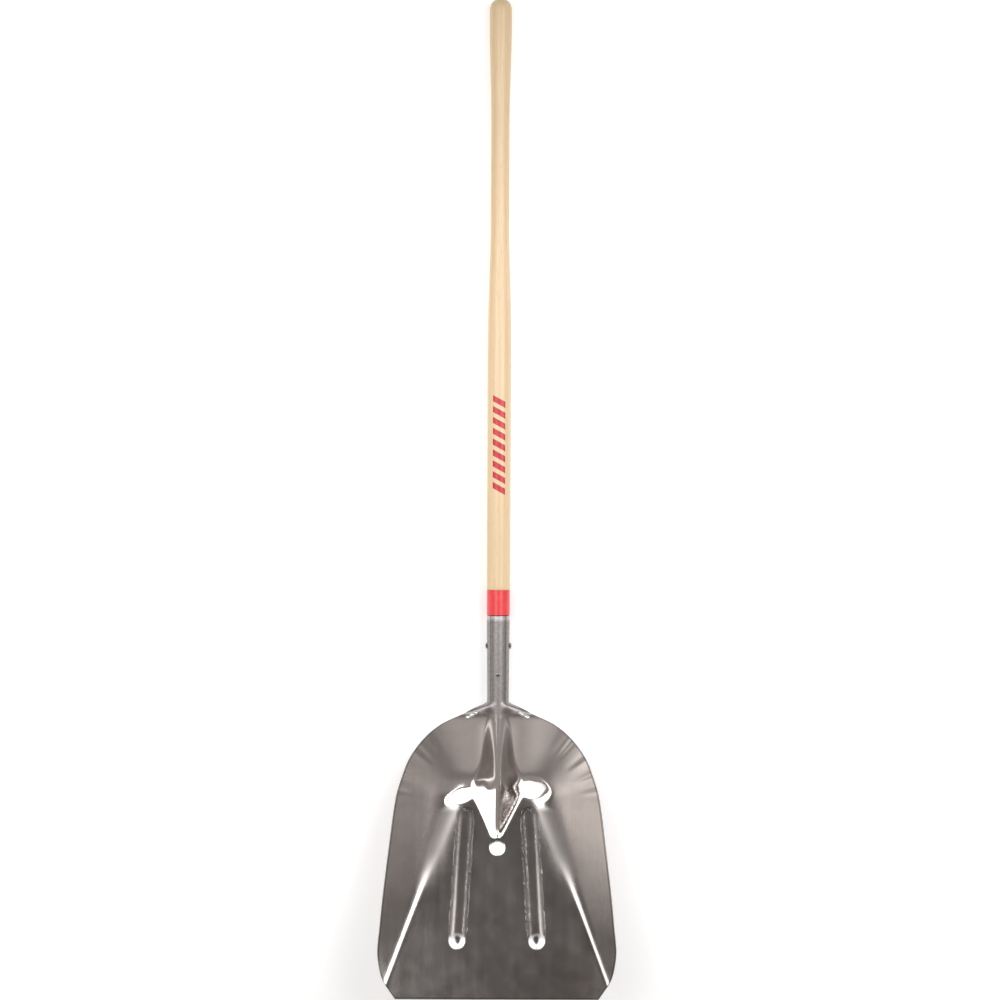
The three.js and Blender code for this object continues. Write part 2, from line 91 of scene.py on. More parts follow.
BAND_START_Y, BAND_END_Y, BAND_R, BAND_SHEET = 612.5, 654.5, 19.4, 0.8
CROSS_RIVET_Y, CROSS_RIVET_R, FRONT_PIN_Y, FRONT_PIN_R = 561.0, 2.6, 514.0, 2.2
HEAD_R, HEAD_HEIGHT, PIN_HEAD_R, PIN_HEAD_HEIGHT = 5.4, 3.2, 3.8, 1.2
SET_END_R, SET_END_SHARE = 4.2, 0.4
BURR_SHEET = 0.8
WELD_R, SHOULDER_WELD_R = 1.7, 2.0
SHOULDER_WELD = [(54.0, 441.5), (46.0, 445.0), (38.0, 448.5), (31.0, 452.0)]

# ---------------------------------------------------------------- finer features, only here
PAINTED_SHADOW_ANGLE, PAINTED_SHADOW_SPREAD = math.radians(42), math.radians(2.4)  # painted shadow: a dark line down each side of the socket's front
LIP = 6.0  # length of the painted highlight round the lip at the top of the socket
WAVE_HEIGHT, DENT_HEIGHT = 0.35, 0.035  # of the drawn walls, and of the whole sheet
WRINKLE_HEIGHT = (0.5, 0.85)  # in the heel's left and right corners
HEEL_LIFT = 0.13  # keeps the finer heel above the lowest point of the part's facets
NOSE_WIDTH, NOSE_WIDENING = 8.0, 0.415  # half width of the ridge at its nose, and how fast that grows
SHOULDER_BEAD_SWELL = 1.8  # how much fuller the shoulder beads are than the part's
BEAD_STEPS, BEAD_SIDES = 90, 20
PRINT_START_Y, PRINT_END_Y, PRINT_HALF_WIDTH = 819.0, 982.0, 10.35
PRINT_BARS, PRINT_SLANT, PRINT_SHARE = 9, 0.55, 0.58  # bars, their slant, and the share of each step they fill


# ---------------------------------------------------------------- the part's curves, over arrays
def through(points, at):
    """A smooth curve through (at, value) points, with the slope at each point taken from its neighbours."""
    xs, values = np.array(points, float).T
    at = np.clip(at, xs[0], xs[-1])
    before = np.maximum(np.arange(len(xs)) - 1, 0)
    after = np.minimum(np.arange(len(xs)) + 1, len(xs) - 1)
    slopes = (values[after] - values[before]) / (xs[after] - xs[before])
    i = np.clip(np.searchsorted(xs, at, side="right") - 1, 0, len(xs) - 2)
    span = xs[i + 1] - xs[i]
    t = (at - xs[i]) / span
    return (values[i] * (1 + 2 * t) * (1 - t) ** 2 + slopes[i] * span * t * (1 - t) ** 2
            + values[i + 1] * (3 - 2 * t) * t ** 2 - slopes[i + 1] * span * (1 - t) * t ** 2)


def bent_ramp(d, width):
    t = d / width + 0.5
    bend = width * (np.clip(t, 0, 1) ** 3 - np.clip(t, 0, 1) ** 4 / 2)
    return np.where(t >= 1, d, bend)


def fillet_max(a, b, blend):
    t = np.maximum(blend - np.abs(a - b), 0) / blend
    return np.maximum(a, b) + blend * t ** 3 / 6


def lerp(a, b, t):
    return a + (b - a) * t


def smoothstep(x, low, high):
    t = np.clip((x - low) / (high - low), 0, 1)
    return t * t * (3 - 2 * t)


def hump(d, spread):
    return np.exp(-(d / spread) ** 2)


def socket_radius(y):
    return lerp(SOCKET_START_R, SOCKET_END_R, np.clip((y - SOCKET_START_Y) / (SOCKET_END_Y - SOCKET_START_Y), 0, 1))


def front_wrap(y):
    """How far round the socket the blade's sheet reaches on each side; the strap covers the rest."""
    return lerp(WRAP_START, WRAP_END, smoothstep(y, SHOULDER_START_Y, WRAP_END_Y))


def rim_half_width(y):
    rim = np.minimum(through(RIM, y), TIP_HALF_WIDTH + TIP_CHAMFER * y)
    return fillet_max(rim, socket_radius(y), SHOULDER_FILLET)


def outside_floor(x, y):
    length = math.hypot(1, FLOOR_TAPER)
    normal_x, normal_y = 1 / length, FLOOR_TAPER / length
    side = (np.abs(x) - FLOOR_FRONT_X) * normal_x + (y - FLOOR_FRONT_Y) * normal_y + FLOOR_CORNER
    back = y - FLOOR_BACK_Y + FLOOR_CORNER
    along_side = (side - normal_y * back) / (1 - normal_y ** 2)
    along_back = (back - normal_y * side) / (1 - normal_y ** 2)
    corner = np.sqrt(np.maximum(along_side ** 2 + along_back ** 2 + 2 * along_side * along_back * normal_y, 0))
    in_corner = (along_side > 0) & (along_back > 0)
    return np.where(in_corner, corner, np.maximum(side, back)) - FLOOR_CORNER


def dish_height(x, y):
    reach = RIM_BACK_Y - bent_ramp(RIM_BACK_Y - y, RIM_LEVELLING)
    wall_slope = lerp(WALL_SLOPE_FRONT, WALL_SLOPE_BACK, 1 - (1 - np.maximum(reach / RIM_BACK_Y, 0)) ** 2)
    fillet = lerp(FILLET_FRONT, FILLET_BACK, np.minimum(reach / FLOOR_BACK_Y, 1) ** 2)
    return TIP_Z - FLOOR_SLOPE * reach + wall_slope * bent_ramp(outside_floor(x, reach), fillet)


def rib_distance(x, y):
    run = np.array(RIB_BACK) - np.array(RIB_FRONT)
    px, py = np.abs(x) - RIB_FRONT[0], y - RIB_FRONT[1]
    t = np.clip((px * run[0] + py * run[1]) / run.dot(run), 0, 1)
    return np.hypot(px - run[0] * t, py - run[1] * t)


def dome_height(x, y):
    return fillet_max(0, DOME_HEIGHT * (1 - (x * x + y * y) / DOME_R ** 2), DOME_FILLET)


def rib_height(x, y):
    rib = RIB_HEIGHT * (1 - smoothstep(rib_distance(x, y), RIB_HALF_WIDTH - RIB_EDGE, RIB_HALF_WIDTH))
    return fillet_max(rib, dome_height(np.abs(x) - RIB_FRONT[0], y - RIB_FRONT[1]), DOME_FILLET)


def along_ridge(y):
    return np.clip((y - RIDGE_NOSE_Y) / (RIM_BACK_Y - RIDGE_NOSE_Y), 0, 1)


def ridge_height(x, y):
    off = np.hypot(x, np.minimum(y - RIDGE_NOSE_Y, 0))
    spread = lerp(RIDGE_NOSE_ROUND, RIDGE_BACK_ROUND, along_ridge(y) ** 3)
    flank = lerp(RIDGE_NOSE_FLANK, RIDGE_BACK_FLANK, smoothstep(y, *RIDGE_STEEPENING))
    crest = AXIS_Z + SOCKET_START_R - RIDGE_NOSE_DROP * (1 - along_ridge(y)) ** RIDGE_DROP_POWER
    return crest - flank * (np.hypot(off, spread) - spread)


def blade_height(x, y):
    blend = lerp(RIDGE_NOSE_BLEND, RIDGE_BACK_BLEND, along_ridge(y) ** 3)
    dish = fillet_max(dish_height(x, y), ridge_height(x, y), blend)
    return dish + rib_height(x, y) + dome_height(x, y - NOSE_DOME_Y)


def blade_underside(x, y):
    step = 0.5
    slope_x = (blade_height(x + step, y) - blade_height(x - step, y)) / (2 * step)
    slope_y = (blade_height(x, y + step) - blade_height(x, y - step)) / (2 * step)
    return blade_height(x, y) - SHEET * np.sqrt(1 + slope_x ** 2 + slope_y ** 2)


def blade_point(across, y):
    radius, half_width = socket_radius(y), rim_half_width(y)
    blend = smoothstep(y, SHOULDER_START_Y, SOCKET_START_Y)
    angle = across * front_wrap(y)
    x = half_width * lerp(across, np.sin(angle), blend)
    z = lerp(blade_height(half_width * across, y), AXIS_Z + radius * np.cos(angle), blend)
    return np.stack([x, y + 0 * x, z], -1)


def strap_point(across, y):
    radius = socket_radius(y)
    wrap = math.pi - SEAM - front_wrap(y)
    half_width = fillet_max(through(STRAP, y), radius * np.sin(wrap), SHOULDER_FILLET)
    blend = smoothstep(y, SHOULDER_START_Y, SOCKET_START_Y)
    angle = across * wrap
    flat_x = half_width * across
    x = lerp(flat_x, half_width * np.sin(angle) / np.sin(wrap), blend)
    flange = blade_underside(flat_x, y) - STRAP_GAP - STRAP_SHEET * STRAP_FLANGE_ROOM
    start = STRAP[0][0]
    front_bottom = dish_height(np.float64(0), np.float64(start)) - SHEET - STRAP_GAP - STRAP_SHEET
    bottom = lerp(front_bottom, AXIS_Z - SOCKET_START_R, smoothstep(y, start, SOCKET_START_Y))
    trough = bottom + np.hypot(flat_x, STRAP_ROUND) - STRAP_ROUND
    z = lerp(-fillet_max(-flange, -trough, STRAP_BLEND), AXIS_Z - radius * np.cos(angle), blend)
    return np.stack([x, y + 0 * x, z], -1)


# ---------------------------------------------------------------- placing in the frame
def centre(node):
    low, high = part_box(node)
    return (Vector(low) + Vector(high)) / 2


# The cross rivet and the colour band are both centred on the handle's axis, so they give where it lies.
RIVET_CENTRE, BAND_CENTRE = centre("cross_rivet"), centre("color_band")
TILT = math.atan2(BAND_CENTRE.z - RIVET_CENTRE.z, BAND_CENTRE.y - RIVET_CENTRE.y)
TO_FRAME = (Matrix.Translation((0, RIVET_CENTRE.y, RIVET_CENTRE.z)) @ Matrix.Rotation(TILT, 4, "X")
            @ Matrix.Scale(MM, 4) @ Matrix.Translation((0, -CROSS_RIVET_Y, -AXIS_Z)))


def mesh_object(name, points, faces, uvs=None, attributes=None, smooth_angle=35):
    """A mesh from points in the handle's frame. uvs and attributes are given for each point."""
    mesh = bpy.data.meshes.new(name)
    mesh.from_pydata([tuple(p) for p in points], [], [tuple(f) for f in faces])
    for key, values in (attributes or {}).items():
        layer = mesh.attributes.new(key, "FLOAT", "POINT")
        layer.data.foreach_set("value", np.asarray(values, np.float32))
    if uvs is not None:
        loops = np.empty(len(mesh.loops), int)
        mesh.loops.foreach_get("vertex_index", loops)
        layer = mesh.uv_layers.new(name="UVMap")
        layer.data.foreach_set("uv", np.asarray(uvs, np.float32)[loops].ravel())
    mesh.transform(TO_FRAME)
    mesh.polygons.foreach_set("use_smooth", np.ones(len(mesh.polygons), bool))
    mesh.set_sharp_from_angle(angle=math.radians(smooth_angle))
    mesh.validate()
    obj = bpy.data.objects.new(name, mesh)
    bpy.context.scene.collection.objects.link(obj)
    return obj


def grid_faces(rows, columns, offset=0, flip=False, closed=False):
    row, column = np.meshgrid(np.arange(rows - 1), np.arange(columns if closed else columns - 1), indexing="ij")
    following = (column + 1) % columns
    a, b = row * columns + column, row * columns + following
    quads = np.stack([a, b, b + columns, a + columns], -1).reshape(-1, 4) + offset
    return quads[:, ::-1] if flip else quads


def surface_normals(points):
    """Unit normals of a grid of points, from the differences between its neighbours."""
    normals = np.cross(np.gradient(points, axis=1), np.gradient(points, axis=0))
    return normals / np.linalg.norm(normals, axis=-1, keepdims=True)


def sheet_mesh(name, points, thickness, uvs, attributes, edge=0.45):
    """A closed sheet below a grid of points (rows, columns), with its cut edges slightly rounded."""
    rows, columns = points.shape[:2]
    normals = surface_normals(points)
    count = rows * columns
    below = points - normals * thickness
    faces = [grid_faces(rows, columns), grid_faces(rows, columns, count, flip=True)]
    border = np.concatenate([np.arange(columns), np.arange(1, rows) * columns + columns - 1,
                             count - 2 - np.arange(columns - 1), (np.arange(rows - 2, 0, -1)) * columns])
    following = np.roll(border, -1)
    faces.append(np.stack([border, border + count, following + count, following], -1))
    obj = mesh_object(name, np.concatenate([points.reshape(-1, 3), below.reshape(-1, 3)]), np.concatenate(faces),
                      np.concatenate([uvs.reshape(-1, 2)] * 2),
                      {key: np.concatenate([value.ravel()] * 2) for key, value in attributes.items()})
    bevel = obj.modifiers.new("edge", "BEVEL")
    bevel.width, bevel.segments = edge * MM, 2
    bevel.limit_method, bevel.angle_limit = "ANGLE", math.radians(50)
    return obj


def smooth_noise(x, y, z=0.0):
    """Perlin noise over arrays."""
    flat = [noise.noise(Vector((a, b, z))) for a, b in zip(np.ravel(x), np.ravel(y))]
    return np.array(flat).reshape(np.shape(x))


# ---------------------------------------------------------------- pieces
def pressed_detail(x, y, outside):
    """Slight waves in the drawn walls, wrinkles where the sheet was gathered round the heel's corners, and dents."""
    turn = np.degrees(np.arctan2(y - (FLOOR_BACK_Y - FLOOR_CORNER), np.abs(x) - 30))
    gathered = smoothstep(turn, 8, 24) * (1 - smoothstep(turn, 48, 66)) * smoothstep(outside, 55, 100)
    shift = np.where(x > 0, 3.1, 0.0)
    folds = np.sin(np.radians(turn) * 40 + shift + 3 * smooth_noise(turn * 0.11, shift))
    wrinkles = np.where(x > 0, WRINKLE_HEIGHT[1], WRINKLE_HEIGHT[0]) * gathered * folds
    waves = WAVE_HEIGHT * smooth_noise(x / 95, y / 120, 7.3) * smoothstep(outside, 15, 60)
    dents = DENT_HEIGHT * (1 + smooth_noise(x / 22, y / 26, 2.1))
    lift = HEEL_LIFT * (1 - smoothstep(np.abs(y - HEEL_Y), 30, 60))
    fade = smoothstep(y, 0, 25) * (1 - smoothstep(y, SHOULDER_START_Y - 30, SHOULDER_START_Y + 6))
    return fade * (wrinkles + waves + dents + lift)


def blade_zones(x, y, across, row, outside):
    """Where each finish, painted highlight and painted shade of the blade's material lies, from 0 to 1 at each point.
    """
    from_rib, from_rim = rib_distance(x, y), np.minimum((1 - np.abs(across)) * rim_half_width(y), y)
    rib_run = smoothstep(y, RIB_FRONT[1] - 2, RIB_FRONT[1] + 14)
    rib_run *= 1 - smoothstep(y, RIB_BACK[1] + 4, RIB_BACK[1] + 20)
    from_nose_dome = np.hypot(x, y - NOSE_DOME_Y)
    from_dome = np.minimum(np.hypot(np.abs(x) - RIB_FRONT[0], y - RIB_FRONT[1]), from_nose_dome)
    weld_x, weld_y = np.array(SHOULDER_WELD).T
    from_weld = np.abs(y - np.interp(-np.abs(x), -weld_x, weld_y)) + 3 * np.maximum(np.abs(np.abs(x) - 42) - 12, 0)

    # Both flanks of the ridge's nose, then the flats that catch the light: the left flank, the dome, and two patches.
    uneven = smooth_noise(x / 19, y / 19, 5.2)
    nose = smoothstep(y, 238, 246) * (1 - smoothstep(y + 14 * uneven, 314, 342))
    flank_edge = NOSE_WIDTH + NOSE_WIDENING * (y - 240)
    flank = nose * smoothstep(np.abs(x), 1.0, 4.0) * (1 - smoothstep(np.abs(x), flank_edge - 2, flank_edge + 5))
    right_patch = np.hypot((x - 60 + 0.3 * (y - 320)) / 27, (y - 320) / 20) + 0.3 * uneven
    left_patch = np.hypot((x + 62) / 23, (y - 307 - 0.25 * (x + 62)) / 12) + 0.2 * uneven
    flats = [flank * (x < 0), 0.9 * (1 - smoothstep(from_nose_dome, 4, 12)), 1 - smoothstep(right_patch, 0.7, 1.3),
             1 - smoothstep(left_patch, 0.7, 1.3)]

    # Painted highlight: the next two masks lighten the colour beside the ridge's back and on the rear right of the
    # dish, where reflections are bright.
    ridge_side = smoothstep(y, 335, 360) * (1 - smoothstep(y, 420, 440)) * hump(np.abs(x) - 21, 11)
    rear_right = smoothstep(x, 36, 70) * smoothstep(y, 335, 390)
    return {
        # Painted shade: darkens the ribs' sloping sides, where their reflections are grey.
        "rib": hump(from_rib - RIB_HALF_WIDTH + 4, 3.0) * rib_run,
        # Painted shade: a dark arch at the upper end of each rib.
        "painted_dark_arch": hump(from_rib - RIB_HALF_WIDTH + 2, 2.5) * smoothstep(y, RIB_BACK[1] - 4, RIB_BACK[1] + 6),
        "ring": hump(from_dome - DOME_R + 4.5, 2.4),
        "flat": np.maximum.reduce(flats),
        # The right flank of the ridge's nose, which carries painted shade.
        "flank_right": flank * (x > 0),
        "painted_highlight": np.maximum(ridge_side * np.where(x < 0, 1.0, 0.6), 0.7 * rear_right),
        # Painted shade along the creases between y 140 and 296, dimming their reflections; they are rougher there too.
        "crease_painted_shade": hump(outside, 19) * smoothstep(y, 140, 225) * (1 - smoothstep(y, 280, 296)),
        # Painted shade: darkens the floor near the cutting edge, more towards the right, where its reflection is dark.
        "front": ((1 - smoothstep(y, 0, 250)) * (0.55 + 0.75 * smoothstep(x, 10, 130))
                  * (1 - smoothstep(outside, -4, 4))),
        "wall": smoothstep(outside, 0, 40),
        # Painted shade: a thin dark line along the blade's cut edge.
        "rim": (1 - smoothstep(from_rim, 0.6, 2.6)) * (y < SOCKET_START_Y),
        "heat": hump(from_weld, 4.5),
        "socket": smoothstep(y, SHOULDER_START_Y - 10, SHOULDER_START_Y + 4),
        # Painted highlight: a light band round the lip at the top of the socket.
        "lip": smoothstep(y, SOCKET_END_Y - LIP, SOCKET_END_Y - LIP + 2),
        # Painted shadow: a dark line down each side of the socket's front.
        "painted_shadow_line": hump(np.abs(across) * front_wrap(row) - PAINTED_SHADOW_ANGLE, PAINTED_SHADOW_SPREAD) * (row > SOCKET_START_Y),
    }


def make_blade():
    across = np.linspace(-1, 1, 281)
    along = np.concatenate([np.arange(0, SHOULDER_START_Y, 1.4),
                            np.arange(SHOULDER_START_Y, 472, 1.0), np.linspace(473, SOCKET_END_Y, 30)])
    u, v = np.meshgrid(across, along)
    points = blade_point(u, v)
    x, y = points[..., 0], points[..., 1]
    outside = outside_floor(x, y)
    points[..., 2] += pressed_detail(x, y, outside)
    uvs = np.stack([x * MM, y * MM], -1)
    return sheet_mesh("blade_sheet", points, SHEET, uvs, blade_zones(x, y, u, v, outside))


def make_strap():
    across = np.linspace(-1, 1, 61)
    along = np.concatenate([np.linspace(358, 372, 12), np.linspace(374, SHOULDER_START_Y, 28),
                            np.linspace(447.5, 472, 20), np.linspace(478, SOCKET_END_Y - 2, 24)])
    u, v = np.meshgrid(across, along)
    outer = strap_point(u, v)
    upper = outer + surface_normals(outer) * STRAP_SHEET
    uvs = np.stack([outer[..., 0] * MM, outer[..., 1] * MM], -1)
    return sheet_mesh("strap_sheet", upper, STRAP_SHEET, uvs, {}, edge=0.4)


def turned(name, profile, segments=96, axis="Y", at=(0.0, 0.0, 0.0), angle=35):
    """A solid turned about the handle's axis (or another), from a profile of (radius, along)."""
    radii, alongs = np.array(profile, float).T
    turns = np.linspace(0, 2 * math.pi, segments, endpoint=False)
    r, t = np.meshgrid(radii, turns, indexing="ij")
    a = np.broadcast_to(alongs[:, None], r.shape)
    if axis == "Y":
        points = np.stack([r * np.sin(t), a, r * np.cos(t)], -1)
    elif axis == "X":
        points = np.stack([a, r * np.cos(t), r * np.sin(t)], -1)
    else:
        points = np.stack([r * np.cos(t), r * np.sin(t), a], -1)
    points = points + np.array(at)
    count = len(radii) * segments
    faces = [list(f) for f in grid_faces(len(radii), segments, closed=True)]
    closed = np.allclose(profile[0], profile[-1])
    uvs = np.stack([t / (2 * math.pi) * 0.12, a * MM], -1)
    if closed:
        points = points[:-1]
        last = (len(radii) - 2) * segments
        faces = [f for f in faces if max(f) < count - segments]
        faces += [[last + i, last + (i + 1) % segments, (i + 1) % segments, i] for i in range(segments)]
        uvs = uvs[:-1]
    else:
        faces.append(list(range(segments))[::-1])
        faces.append([count - segments + i for i in range(segments)])
    return mesh_object(name, points.reshape(-1, 3), faces, uvs.reshape(-1, 2), smooth_angle=angle)


def make_handle():
    neck, body = BAND_R - BAND_SHEET - GAP, HANDLE_BODY[0][1]
    tenon = [(socket_radius(y) - SHEET - 2 * GAP, y) for y in (TENON_START_Y + 4, SOCKET_END_Y + GAP)]
    profile = [(0.5, TENON_START_Y), (tenon[0][0] - TENON_CHAMFER, TENON_START_Y), tenon[0], tenon[1],
               (neck, tenon[1][1] + 0.1), (neck, BAND_END_Y + GAP), (body - 0.4, BAND_END_Y + 0.7),
               (body, BAND_END_Y + 1.7)]
    profile += [(float(through(HANDLE_BODY, y)), y) for y in np.arange(662, DOME_START_Y, 6)]
    dome = float(through(HANDLE_BODY, DOME_START_Y))
    for turn in np.linspace(0, math.pi / 2, 16):
        profile.append((END_FLAT_R + (dome - END_FLAT_R) * math.cos(turn),
                        lerp(DOME_START_Y, HANDLE_END_Y, math.sin(turn))))
    profile.append((0.5, HANDLE_END_Y))
    return turned("handle_ash", profile, segments=128, at=(0, 0, AXIS_Z))


def make_band():
    inner, lip = BAND_R - BAND_SHEET, 0.35
    profile = [(inner, BAND_START_Y), (BAND_R - lip, BAND_START_Y), (BAND_R, BAND_START_Y + lip)]
    profile += [(BAND_R, y) for y in np.linspace(BAND_START_Y + 2, BAND_END_Y - 2, 12)]
    profile += [(BAND_R, BAND_END_Y - lip), (BAND_R - lip, BAND_END_Y), (inner, BAND_END_Y), (inner, BAND_START_Y)]
    return turned("band_sleeve", profile, at=(0, 0, AXIS_Z))


def rivet_profile(shank, head, height, near, far, set_radius):
    """A rivet from its set end, beyond `near`, to its head, beyond `far`."""
    set_height, edge = height * SET_END_SHARE, 0.3
    profile = [(0.2, near - set_height)]
    profile += [(set_radius * math.sin(t), near - set_height * math.cos(t)) for t in np.linspace(0.15, math.pi / 2, 6)]
    profile += [(shank, near), (shank, far), (head - edge, far), (head, far + edge)]
    profile += [(head * math.cos(t), far + edge + (height - edge) * math.sin(t)) for t in np.linspace(0.15, 1.5, 8)]
    return profile


def make_rivets():
    seat = float(socket_radius(CROSS_RIVET_Y)) + GAP
    profile = rivet_profile(CROSS_RIVET_R, HEAD_R, HEAD_HEIGHT, -seat - BURR_SHEET - GAP, seat, SET_END_R)
    cross = turned("rivet_cross", profile, 40, "X", (0, CROSS_RIVET_Y, AXIS_Z))
    hole, edge = CROSS_RIVET_R + GAP, 0.3
    profile = [(hole, -seat), (HEAD_R - edge, -seat), (HEAD_R, -seat - edge), (HEAD_R, -seat - BURR_SHEET + edge),
               (HEAD_R - edge, -seat - BURR_SHEET), (hole, -seat - BURR_SHEET), (hole, -seat)]
    burr = turned("rivet_burr", profile, 40, "X", (0, CROSS_RIVET_Y, AXIS_Z))
    seat = float(socket_radius(FRONT_PIN_Y)) + GAP
    profile = rivet_profile(FRONT_PIN_R, PIN_HEAD_R, PIN_HEAD_HEIGHT, -seat, seat, PIN_HEAD_R)
    pin = turned("rivet_front", profile, 40, "Z", (0, FRONT_PIN_Y, AXIS_Z))
    return cross, burr, pin


def bead(name, route, radius, seed, pool_count):
    """A weld bead: a tube along a route, swollen and rippled at each pool."""
    route = np.array(route, float)
    t = np.linspace(0, len(route) - 1, BEAD_STEPS)
    centre_line = np.stack([np.interp(t, np.arange(len(route)), route[:, k]) for k in range(3)], -1)
    forward = np.gradient(centre_line, axis=0)
    forward /= np.linalg.norm(forward, axis=1, keepdims=True)
    side = np.cross(forward, (0, 0, 1.0))
    side /= np.linalg.norm(side, axis=1, keepdims=True)
    up = np.cross(side, forward)
    ends = np.sqrt(np.clip(1 - (2 * np.linspace(0, 1, BEAD_STEPS) - 1) ** 8, 0.02, 1))
    pools = 0.78 + 0.34 * np.abs(np.sin(t / t[-1] * math.pi * pool_count + seed))
    turns = np.linspace(0, 2 * math.pi, BEAD_SIDES, endpoint=False)
    size = (radius * ends * pools)[:, None]
    points = (centre_line[:, None] + size[..., None] * (side[:, None] * np.cos(turns)[None, :, None]
              + up[:, None] * np.sin(turns)[None, :, None] * 0.85))
    lumps = smooth_noise(points[..., 0] * 0.5 + seed, points[..., 1] * 0.5, 1.0)
    points += (points - centre_line[:, None]) * (0.25 * lumps)[..., None]
    last = (BEAD_STEPS - 1) * BEAD_SIDES
    faces = [list(f) for f in grid_faces(BEAD_STEPS, BEAD_SIDES, closed=True, flip=True)]
    faces += [list(range(BEAD_SIDES)), [last + i for i in range(BEAD_SIDES)][::-1]]
    grid = (BEAD_STEPS, BEAD_SIDES)
    uvs = np.stack([np.broadcast_to(turns, grid) * 0.002, np.broadcast_to(t[:, None], grid) * 0.01], -1)
    return mesh_object(name, points.reshape(-1, 3), faces, uvs.reshape(-1, 2), smooth_angle=60)


def shoulder_bead(name, side):
    xs, ys = np.array(SHOULDER_WELD).T
    across = xs / rim_half_width(ys)
    step = 1e-3
    sideways = blade_point(across + step, ys) - blade_point(across - step, ys)
    forward = blade_point(across, ys + step) - blade_point(across, ys - step)
    normal = np.cross(sideways, forward)
    normal /= np.linalg.norm(normal, axis=1, keepdims=True)
    radius = SHOULDER_WELD_R * SHOULDER_BEAD_SWELL
    route = blade_point(across, ys) + normal * (radius + 0.6)
    route[:, 0] *= side
    return bead(name, route, radius, 1.7 + side, 3)


def flange_bead(name, side):
    ys = np.linspace(376, 424, 9)
    xs = through(STRAP, ys) + WELD_R + 0.6
    route = np.stack([xs * side, ys, blade_underside(xs, ys) - WELD_R - STRAP_GAP], -1)
    return bead(name, route, WELD_R, 4.1 + side, 9)


# ---------------------------------------------------------------- materials
class Nodes:
    """Short calls for building a node material."""

    def __init__(self, name):
        self.material = bpy.data.materials.new(name)
        self.material.use_nodes = True
        self.tree = self.material.node_tree
        self.shader = self.tree.nodes["Principled BSDF"]

    def add(self, kind, inputs=None, **settings):
        node = self.tree.nodes.new(kind)
        for key, value in settings.items():
            setattr(node, key, value)
        for key, value in (inputs or {}).items():
            self.put(node.inputs[key], value)
        return node

    def put(self, socket, value):
        if isinstance(value, bpy.types.Node):
            value = value.outputs[0]
        if isinstance(value, bpy.types.NodeSocket):
            self.tree.links.new(value, socket)
        else:
            socket.default_value = value

    def shade(self, **inputs):
        for key, value in inputs.items():
            self.put(self.shader.inputs[key.replace("_", " ")], value)

    def attribute(self, name):
        return self.add("ShaderNodeAttribute", attribute_name=name).outputs["Fac"]

    def coordinates(self, scale=(1, 1, 1), uv=False):
        source = self.add("ShaderNodeTexCoord").outputs["UV" if uv else "Object"]
        return self.add("ShaderNodeMapping", {"Vector": source, "Scale": scale})

    def noise(self, scale, at, detail=3.0, roughness=0.55):
        return self.add("ShaderNodeTexNoise", {"Vector": at, "Scale": scale, "Detail": detail,
                                               "Roughness": roughness}).outputs["Fac"]

    def math(self, operation, a, b=0.0, c=0.0, clamp=False):
        node = self.add("ShaderNodeMath", operation=operation, use_clamp=clamp)
        for i, value in enumerate((a, b, c)):
            self.put(node.inputs[i], value)
        return node.outputs[0]

    def remap(self, value, low, high, to_low=0.0, to_high=1.0):
        return self.add("ShaderNodeMapRange", {"Value": value, "From Min": low, "From Max": high,
                                               "To Min": to_low, "To Max": to_high}).outputs[0]

    def mix(self, factor, a, b, blend="MIX"):
        node = self.add("ShaderNodeMix", data_type="RGBA", blend_type=blend)
        for i, value in ((0, factor), (6, a), (7, b)):
            self.put(node.inputs[i], value)
        return node.outputs[2]

    def bump(self, height, strength, distance, normal=None):
        inputs = {"Height": height, "Strength": strength, "Distance": distance}
        if normal is not None:
            inputs["Normal"] = normal
        return self.add("ShaderNodeBump", inputs).outputs[0]


